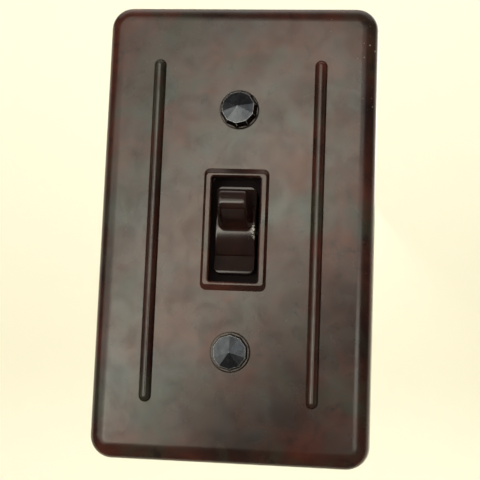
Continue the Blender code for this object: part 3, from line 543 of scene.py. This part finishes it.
def fibre():
    m = Material("fibre", ior=1.5)
    m.colour(m.ramp(m.noise(700, 5, 0.65, 0.3), (0.3, (0.15, 0.050, 0.030)), (0.7, (0.25, 0.095, 0.055))))
    m.roughness(m.scaled(m.noise(400, 4, 0.6), 0.62, 0.85))
    m.bump(m.noise(1600, 4, 0.65), 0.04 * MM)
    return m.material


# ---- cover plate ----------------------------------------------------------------------------------


def quarter(steps):
    return (math.pi / 2 * k / steps for k in range(steps + 1))


def bead():
    """Half-round bar with round ends, standing on the plate's face."""
    foot = rounded_rect(BEAD_WIDTH, BEAD_LENGTH, 0.4999 * BEAD_WIDTH, 12)
    rings = [at_height(foot, PLATE_DEPTH - 0.5 * MM)]
    for angle in quarter(14):
        inset = 0.49 * BEAD_WIDTH * (1 - math.cos(angle))
        radius = 0.4999 * BEAD_WIDTH - inset
        outline = rounded_rect(BEAD_WIDTH - 2 * inset, BEAD_LENGTH - 2 * inset, radius, 12)
        rings.append(at_height(outline, PLATE_DEPTH + BEAD_RISE * math.sin(angle) ** BEAD_CREST))
    return loft(rings)


def bead_frame():
    """Flat-topped block round the opening whose sides slope in, with a small round at foot and top."""
    rings = [at_height(rounded_rect(*FRAME_SIZE, FRAME_CORNER, 8), PLATE_DEPTH - 0.5 * MM)]
    for share, rise in FRAME_PROFILE:
        step_x, step_y = FRAME_BEVEL[0] * share, FRAME_BEVEL[1] * share
        width, height = FRAME_SIZE[0] - 2 * step_x, FRAME_SIZE[1] - 2 * step_y
        outline = rounded_rect(width, height, FRAME_CORNER - step_x, 8)
        rings.append(at_height(outline, PLATE_DEPTH + FRAME_RISE * rise))
    return loft(rings)


def plate_shell(width, height):
    """The plate's outside: slightly drafted sides and a broad rolled edge."""
    rings = [at_height(rounded_rect(width, height, PLATE_CORNER), 0.0)]
    across, deep = PLATE_EDGE
    for angle in quarter(22):
        inset = across * (1 - math.cos(angle))
        inward = 2 * (PLATE_DRAFT + inset)
        outline = rounded_rect(width - inward, height - inward, PLATE_CORNER - inset)
        rings.append(at_height(outline, PLATE_DEPTH - deep + deep * math.sin(angle)))
    return loft(rings)


def plate_hollow(width, height):
    """What is cut from the plate's back, with a fillet where its walls meet its floor."""
    depth, fillet = PLATE_DEPTH - PLATE_WALL, HOLLOW_FILLET
    width, height = width - 2 * PLATE_WALL, height - 2 * PLATE_WALL
    rings = [at_height(rounded_rect(width + 1 * MM, height + 1 * MM, HOLLOW_CORNER + 0.5 * MM), -1 * MM)]
    for angle in quarter(5):
        inset = fillet * (1 - math.cos(angle))
        outline = rounded_rect(width - 2 * inset, height - 2 * inset, HOLLOW_CORNER - inset)
        rings.append(at_height(outline, depth - fillet + fillet * math.sin(angle)))
    return loft(rings)


def plate_opening():
    """What is cut for the toggle, flaring out in a round lip at the crest of the frame."""
    crest = PLATE_DEPTH + FRAME_RISE
    rings = [at_height(rounded_rect(*OPENING_SIZE, OPENING_CORNER, 6), 1.0 * MM)]
    for angle in quarter(6):
        grow = 2 * OPENING_LIP * (1 - math.cos(angle))
        outline = rounded_rect(OPENING_SIZE[0] + grow, OPENING_SIZE[1] + grow, OPENING_CORNER + grow / 2, 6)
        rings.append(at_height(outline, crest - OPENING_LIP + OPENING_LIP * math.sin(angle)))
    last = [(x, y, crest + 1 * MM) for x, y, _ in rings[-1]]
    return loft(rings + [last])


def cover_plate(material):
    """Hollow plate with beads, bead frame, screw posts, screw holes and the opening."""
    low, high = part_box("cover_plate")
    width, height = high.x - low.x, high.z - low.z
    steps = [("DIFFERENCE", plate_hollow(width, height))]
    for side in (-1, 1):
        steps.append(("UNION", moved(bead(), x=side * BEAD_SPACING / 2 + BEAD_SHIFT)))
    steps.append(("UNION", bead_frame()))
    for side in (-1, 1):
        post = ((SCREW_POST[0], STRAP_THICK + GAP), (SCREW_POST[1], PLATE_DEPTH - PLATE_WALL + 0.5 * MM))
        steps.append(("UNION", moved(turned(post), y=side * COVER_SCREW_Y)))
    steps.append(("DIFFERENCE", plate_opening()))
    for side in (-1, 1):
        hole = ((SCREW_HOLE, 0.5 * MM), (SCREW_HOLE, PLATE_DEPTH + 1 * MM))
        steps.append(("DIFFERENCE", moved(turned(hole), y=side * COVER_SCREW_Y)))
    mesh = combine(plate_shell(width, height), *steps)
    obj = add_piece("plate_moulding", mesh, material, "housing", ["cover_plate"], sharp=50)
    weight_normals(obj)


def boss():
    """Round-cornered block with softened rims, dished between them."""
    edge = BOSS_EDGE
    rings = [at_height(rounded_rect(*BOSS_SIZE, BOSS_CORNER), -GAP - 0.5 * MM)]
    for angle in quarter(8):
        inset = edge * (1 - math.cos(angle))
        outline = rounded_rect(BOSS_SIZE[0] - 2 * inset, BOSS_SIZE[1] - 2 * inset, BOSS_CORNER - inset)
        rings.append(at_height(outline, BOSS_TOP - edge + edge * math.sin(angle)))
    rim_y, rim_z = BOSS_DISH[-1]
    front = [*BOSS_DISH, (rim_y, rim_z + 1 * MM)]
    dish = prism([(-y, z) for y, z in front[::-1]] + front, -10 * MM, 10 * MM, ACROSS)
    return combine(loft(rings), ("DIFFERENCE", dish))


def body_cover(material):
    """Moulded cover with the boss that shows in the plate's opening above and below the drum."""
    top = -GAP
    half_slot = DRUM_WIDTH / 2 + GAP
    cheek = CHEEK_OUTER + GAP
    reach, below = COVER_RECESS
    way = prism(circle(DRUM_RADIUS + GAP, 160, (0.0, TOGGLE_PIVOT)), -half_slot, half_slot, ACROSS)
    steps = [("UNION", boss()), ("DIFFERENCE", way),
             ("DIFFERENCE", box((-cheek, -reach, -3 * MM), (cheek, reach, top - below)))]
    bores = [(0.0, y, SCREW_BORE) for y in (-BODY_SCREW_Y, BODY_SCREW_Y)]
    rivet_x, rivet_y = RIVET_PLACE
    bores += [(x, y, RIVET_BORE) for x in (-rivet_x, rivet_x) for y in (-rivet_y, rivet_y)]
    for x, y, radius in bores:
        steps.append(("DIFFERENCE", moved(turned(((radius, -4 * MM), (radius, 2 * MM))), x, y)))
    plate = prism(rounded_rect(*BODY_SIZE, BODY_CORNER), top - COVER_THICK, top)
    mesh = combine(plate, *steps)
    obj = add_piece("cover_moulding", mesh, material, "housing", ["body_cover"], sharp=15)
    soften(obj, 0.10 * MM, 3, 20)


# ---- toggle ---------------------------------------------------------------------------------------


def drum_profile():
    """Outline of the drum across its axis: the round face, and the hollow flanks down to the hub."""
    steps = 60
    angles = (DRUM_HALF_ANGLE * (1 - 2 * i / steps) for i in range(steps + 1))
    arc = [(DRUM_RADIUS * math.sin(a), DRUM_RADIUS * math.cos(a)) for a in angles]
    return arc + [(-y, z) for y, z in DRUM_FLANK] + [*DRUM_FLANK][::-1]


def handle_rings():
    """Cross-sections of the handle along its axis: flared foot, taper, and a blunt round tip."""
    round_tip = LEVER_TIP[1] / 2
    end = LEVER_REACH - round_tip - TIP_TRIM
    start = math.sqrt(DRUM_RADIUS**2 - (LEVER_FOOT[1] / 2 + FOOT_FILLET)**2) - 0.1 * MM
    sections = [(DRUM_RADIUS - 4 * MM, FOOT_FILLET)]
    for angle in [*quarter(12)][::-1]:
        sections.append((start + FOOT_FILLET * (1 - math.sin(angle)), FOOT_FILLET * (1 - math.cos(angle))))
    sections += [(start + (end - start) * share, 0.0) for share in (0.25, 0.3, 0.36, 0.42, 0.5, 0.6, 0.8)]
    sections += [(end + round_tip * math.sin(math.pi / 2 * i / 20), 0.0) for i in range(20)]
    return [at_height(handle_section(z, swell, start, end), z) for z, swell in sections]


def handle_section(z, swell, start, end):
    """Outline of the handle at height z; swell widens its thickness on both sides."""
    share = min(max((z - start) / (end - start), 0.0), 1.0)
    width = LEVER_FOOT[0] + (LEVER_TIP[0] - LEVER_FOOT[0]) * share
    thick = LEVER_FOOT[1] + (LEVER_TIP[1] - LEVER_FOOT[1]) * share
    spread, height = FOOT_FLARE
    climb = 1 - min(max((z - start) / height, 0.0), 1.0)
    width += 2 * spread * (1 - math.sqrt(1 - climb**2))
    round_tip = LEVER_TIP[1] / 2
    over = max(z - end, 0.0) / round_tip
    thick = (thick + 2 * swell) * (1 - over**TIP_BLUNTNESS) ** (1 / TIP_BLUNTNESS)
    width -= TIP_NARROWING * (1 - math.sqrt(1 - over**2))
    corner = LEVER_CORNER[0] + (LEVER_CORNER[1] - LEVER_CORNER[0]) * share
    return rounded_rect(width, thick, min(corner, 0.49 * thick), 8)


def nub(reach, hub):
    """Tail below the hub that ends in the ball the coil sits on."""
    profile = [(2.0 * MM, -hub * 0.6), (1.7 * MM, -hub - 0.2 * MM), (1.0 * MM, -hub - 0.9 * MM)]
    start = -math.acos(1.0 * MM / NUB_RADIUS)
    for i in range(12):
        angle = start + (math.radians(80) - start) * i / 11
        profile.append((NUB_RADIUS * math.cos(angle), -reach - NUB_RADIUS * math.sin(angle)))
    return turned(profile[::-1], 32)


def toggle(material):
    """Drum, hub, handle and tail in one moulding, turned to its upper position."""
    half = DRUM_WIDTH / 2
    bore = prism(circle(TOGGLE_BORE, 48), -9 * MM, 9 * MM, ACROSS)
    mesh = combine(prism(drum_profile(), -half, half, ACROSS),
                   ("UNION", prism(circle(HUB_RADIUS, 48), -HUB_WIDTH / 2, HUB_WIDTH / 2, ACROSS)),
                   ("UNION", loft(handle_rings())), ("UNION", nub(TAIL_REACH, HUB_RADIUS)))
    mesh = combine(remeshed(mesh, *TOGGLE_SOFTENING), ("DIFFERENCE", bore))
    place = UPRIGHT @ Matrix.Translation((0, 0, TOGGLE_PIVOT)) @ Matrix.Rotation(-THROW, 4, "X")
    add_piece("toggle_moulding", mesh, material, "toggle", ["toggle_lever"], place, 60)


# ---- screws and spring ----------------------------------------------------------------------------


def thread(radius, top, tip, pitch=0.79 * MM, depth=0.42 * MM, sides=24):
    """Helical thread from tip to top about z: a V profile swept down a core."""
    rows = int(math.ceil((top - tip) / pitch * sides))
    core = radius - depth
    bm = bmesh.new()
    layers = []
    for i in range(rows + 1):
        angle = 2 * math.pi * i / sides
        z = tip + (top - tip) * i / rows
        out = Vector((math.cos(angle), math.sin(angle), 0))
        fade = min(1.0, i / sides, (rows - i) / sides)
        crest = core + depth * fade
        layers.append([bm.verts.new(out * r + Vector((0, 0, z + dz * pitch)))
                       for r, dz in ((core - 0.1 * MM, -0.44), (core, -0.42), (crest, -0.06), (crest, 0.06),
                                     (core, 0.42), (core - 0.1 * MM, 0.44))])
    for first, second in zip(layers, layers[1:]):
        for k in range(6):
            bm.faces.new((first[k], second[k], second[(k + 1) % 6], first[(k + 1) % 6]))
    bm.faces.new(layers[0])
    bm.faces.new(layers[-1][::-1])
    bmesh.ops.recalc_face_normals(bm, faces=bm.faces)
    return bm, core


def threaded(mesh, radius, top, tip):
    """mesh with a threaded shank below it; the pieces interpenetrate, as a swept thread does."""
    bm, core = thread(radius, top - 0.6 * MM, tip + 0.5 * MM)
    shank = turned([(0.6 * core, tip), (core, tip + 0.4 * core), (core, top + 0.1 * MM)], 32)
    bm.from_mesh(shank)
    bm.from_mesh(mesh)
    joined = bpy.data.meshes.new("screw")
    bm.to_mesh(joined)
    bm.free()
    return joined


def cover_screw(name, side, turn, lean, crown_base, material):
    """Round foot, ten flank facets and a low ten-sided pyramid on a threaded shank."""
    seat = PLATE_DEPTH + HEAD_SEAT
    radius, thick = HEAD_FLANGE
    axis = (math.sin(LEAN_TOWARDS), -math.cos(LEAN_TOWARDS), 0)
    rise_to_seat = Matrix.Translation((0, 0, seat))
    cock = rise_to_seat @ Matrix.Rotation(-lean, 4, axis) @ rise_to_seat.inverted()
    top = seat + CROWN_SHOULDER
    level = at_height(circle(CROWN_TOP, HEAD_FACETS, turn=turn), top)
    upper = [tuple(cock @ Vector(point)) for point in level]
    base = circle(crown_base, HEAD_FACETS, turn=turn)
    lower = [at_height(base, seat + share * thick) for share in (0.5, 1.0)]
    crown = loft([*lower, upper], apex=tuple(cock @ Vector((0, 0, seat + CROWN_APEX))))
    foot = turned([(radius - inset, seat + rise) for inset, rise in HEAD_EDGE], 72)
    mesh = threaded(combine(foot, ("UNION", crown)), SHANK_RADIUS, seat + 0.2 * MM, -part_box(name)[1].y)
    place = UPRIGHT @ Matrix.Translation((0, side * COVER_SCREW_Y, 0))
    add_piece(f"{name}_fine", mesh, material, "housing", [name], place, 5)


def coil(material):
    """Round-wire compression spring between the toggle's nub and the rocker's nub."""
    lean = Vector((math.sin(THROW), math.cos(THROW)))
    tail = Vector((0, TOGGLE_PIVOT)) - TAIL_REACH * lean
    seat = Vector((0, ROCKER_PIVOT)) + SEAT_REACH * lean
    centre = tail.lerp(seat, -tail.x / (seat.x - tail.x))
    high = (tail - centre).length - SPRING_INSET
    low = SPRING_INSET - (seat - centre).length
    per_turn, ring = 40, 12
    count = SPRING_TURNS * per_turn
    slope = (high - low) / SPRING_TURNS / (2 * math.pi * SPRING_RADIUS)
    rings = []
    for i in range(count + 1):
        angle = 2 * math.pi * i / per_turn
        out = Vector((math.cos(angle), math.sin(angle), 0))
        along = Vector((-math.sin(angle), math.cos(angle), slope)).normalized()
        side = along.cross(out)
        middle = out * SPRING_RADIUS + Vector((0, 0, low + (high - low) * i / count))
        rings.append([tuple(middle + SPRING_WIRE * (math.cos(a) * out + math.sin(a) * side))
                      for a in (2 * math.pi * k / ring for k in range(ring))])
    turn = math.atan2(seat.x - tail.x, tail.y - seat.y)
    place = UPRIGHT @ Matrix.Translation((0, 0, centre.y)) @ Matrix.Rotation(turn, 4, "X")
    replaced = ["overcentre_spring"]
    add_piece("snap_coil", loft(rings), material, "snap_spring", replaced, place, 50)


# ---- CAD nodes that stay --------------------------------------------------------------------------


def dress(names, material, edge):
    """Gives CAD nodes their material and a small broken edge."""
    for name in names:
        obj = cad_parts[name]
        obj.data.materials.clear()
        obj.data.materials.append(material)
        soften(obj, edge, 2, 40)


# ---- stage, light and camera ----------------------------------------------------------------------


def stage_sheet(name, points, in_reflections):
    """Sheet of paper swept sideways along (y, z) points."""
    bm = bmesh.new()
    rows = [[bm.verts.new((x, y, z)) for y, z in points] for x in (-SWEEP_HALF_WIDTH, SWEEP_HALF_WIDTH)]
    for i in range(len(points) - 1):
        bm.faces.new((rows[0][i], rows[1][i], rows[1][i + 1], rows[0][i + 1]))
    mesh = bpy.data.meshes.new(name)
    bm.to_mesh(mesh)
    bm.free()
    mesh.materials.append(Material("stage_paper", base_color=STAGE_COLOUR, roughness=0.9).material)
    mesh.shade_smooth()
    obj = linked(name, mesh)
    obj.visible_glossy = in_reflections


def stage():
    """Pale floor, a backdrop that curves up from it far behind the object, and a wall all round."""
    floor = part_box("cover_plate")[0].z - FLOOR_DROP
    stage_sheet("floor", [(-2.0, floor), (FLOOR_EDGE, floor)], False)
    points = [(FLOOR_EDGE, floor), (SWEEP_BACK - SWEEP_RADIUS, floor)]
    for angle in quarter(16):
        points.append((SWEEP_BACK - SWEEP_RADIUS + SWEEP_RADIUS * math.sin(angle),
                       floor + SWEEP_RADIUS * (1 - math.cos(angle))))
    points.append((SWEEP_BACK, floor + SWEEP_HEIGHT))
    stage_sheet("sweep", points, True)
    surround(floor)


def surround(floor):
    """Evenly lit paper wall all round, which shows behind the object in side and back views only."""
    bm = bmesh.new()
    outline = circle(SURROUND_RADIUS, SURROUND_SIDES)
    low, high = ([bm.verts.new(point) for point in at_height(outline, floor + z)] for z in SURROUND_SPAN)
    for i in range(SURROUND_SIDES):
        bm.faces.new((low[i], low[i - 1], high[i - 1], high[i]))
    mesh = finish_mesh(bm)
    glow = Material("surround_paper", base_color=(0.0, 0.0, 0.0), emission_color=SURROUND_COLOUR,
                    emission_strength=1.0)
    mesh.materials.append(glow.material)
    obj = linked("surround", mesh)
    obj.visible_glossy = obj.visible_diffuse = obj.visible_shadow = False


def softbox(name, azimuth, elevation, size, radiance, colour, roll=0.0, distance=1.0):
    """Rectangular light aimed at the object.

    Angles are in degrees, azimuth to the right of the face's normal and roll about the light's own axis.
    """
    data = bpy.data.lights.new(name, "AREA")
    data.shape = "RECTANGLE"
    data.size, data.size_y = size
    data.energy = radiance * math.pi * size[0] * size[1]
    data.color = colour
    obj = linked(name, data)
    turn, climb = math.radians(azimuth), math.radians(elevation)
    out = Vector((math.sin(turn) * math.cos(climb), -math.cos(turn) * math.cos(climb), math.sin(climb)))
    look = (-out).to_track_quat("-Z", "Y").to_matrix().to_4x4()
    obj.matrix_world = Matrix.Translation(out * distance) @ look @ Matrix.Rotation(math.radians(roll), 4, "Z")
    return obj


def lights():
    """Broad soft light from the left for the face, and dimmer light for edges, rim, back and backdrop."""
    warm = (1.0, 0.955, 0.82)
    rim = (1.0, 0.82, 0.66)
    top = (1.0, 0.96, 0.90)
    softbox("key_strip", -10.0, 0.6, (0.8, 0.21), 3.2, warm, 50)
    softbox("key_shoulder", -15.0, 5.0, (0.9, 0.24), 1.0, warm, 50)
    softbox("sky", -26.6, 9.1, (1.25, 0.81), 1.5, (1.0, 0.97, 0.86), 50)
    softbox("edge_strip", 17, -4, (0.28, 0.32), 3.2, (1.0, 0.96, 0.88))
    softbox("edge_upper", 17, 14, (0.28, 0.28), 1.5, (0.95, 0.97, 0.95))
    for side in (-1, 1):
        softbox("rim", 112 * side, 0, (0.7, 0.9), 0.9, rim)
    softbox("rim_top", 0, 112, (0.9, 0.7), 0.35, rim)
    wash = softbox("backdrop_wash", 0, 0, (1.6, 0.6), 1.38, (1.0, 0.975, 0.93))
    wash.matrix_world = Matrix.Translation((0, 0.2, 0.75)) @ Matrix.Rotation(math.radians(42), 4, "X")
    wash.data.spread = math.radians(110)
    overhead = softbox("overhead", 0, 0, (2.8, 1.9), 0.6, top)
    overhead.matrix_world = Matrix.Translation((0, 0.4, 1.4))
    softbox("back_fill", 150, 30, (0.7, 0.5), 1.6, top, distance=0.65)
    world = bpy.data.worlds.new("studio")
    bpy.context.scene.world = world
    world.use_nodes = True
    background = world.node_tree.nodes["Background"]
    background.inputs["Color"].default_value = (1.0, 0.90, 0.80, 1.0)
    background.inputs["Strength"].default_value = 0.10
    bpy.context.scene.view_settings.view_transform = "Standard"


def camera():
    data = bpy.data.cameras.new("camera")
    data.lens = CAMERA_LENS
    data.clip_start = 0.005
    obj = linked("camera", data)
    look = (CAMERA_AIM - CAMERA_PLACE).to_track_quat("-Z", "Y").to_matrix().to_4x4()
    obj.matrix_world = Matrix.Translation(CAMERA_PLACE) @ look @ Matrix.Rotation(CAMERA_ROLL, 4, "Z")
    bpy.context.scene.camera = obj


def main():
    camera()
    stage()
    lights()
    cover_plate(plate_phenolic())
    toggle(toggle_phenolic())
    blued = blued_steel()
    cover_screw("cover_screw_upper", 1, UPPER_TURN, UPPER_LEAN, CROWN_BASES[0], blued)
    cover_screw("cover_screw_lower", -1, LOWER_TURN, LOWER_LEAN, CROWN_BASES[1], blued)
    steel, wire, metal, strip = zinc_steel(), spring_steel(), brass(), bronze()
    coil(wire)
    body = body_phenolic()
    body_cover(boss_phenolic())
    dress(["switch_body"], body, 0.25 * MM)
    dress(["mounting_strap", "mechanism_frame", "box_screw_upper", "box_screw_lower",
           "body_screw_upper", "body_screw_lower"], steel, 0.12 * MM)
    dress(["toggle_pin", "rocker_pin"], wire, 0.08 * MM)
    dress(["frame_rivet_1", "frame_rivet_2", "frame_rivet_3", "frame_rivet_4", "bridge_rivet_left",
           "bridge_rivet_right", "contact_rivet_left", "contact_rivet_right", "terminal_plate_left",
           "terminal_plate_right", "terminal_screw_left", "terminal_screw_right"], metal, 0.08 * MM)
    dress(["bridge_contact", "fixed_contact_left", "fixed_contact_right"], strip, 0.06 * MM)
    dress(["retaining_washer_upper", "retaining_washer_lower", "rocker", "floor_liner"], fibre(), 0.08 * MM)


main()
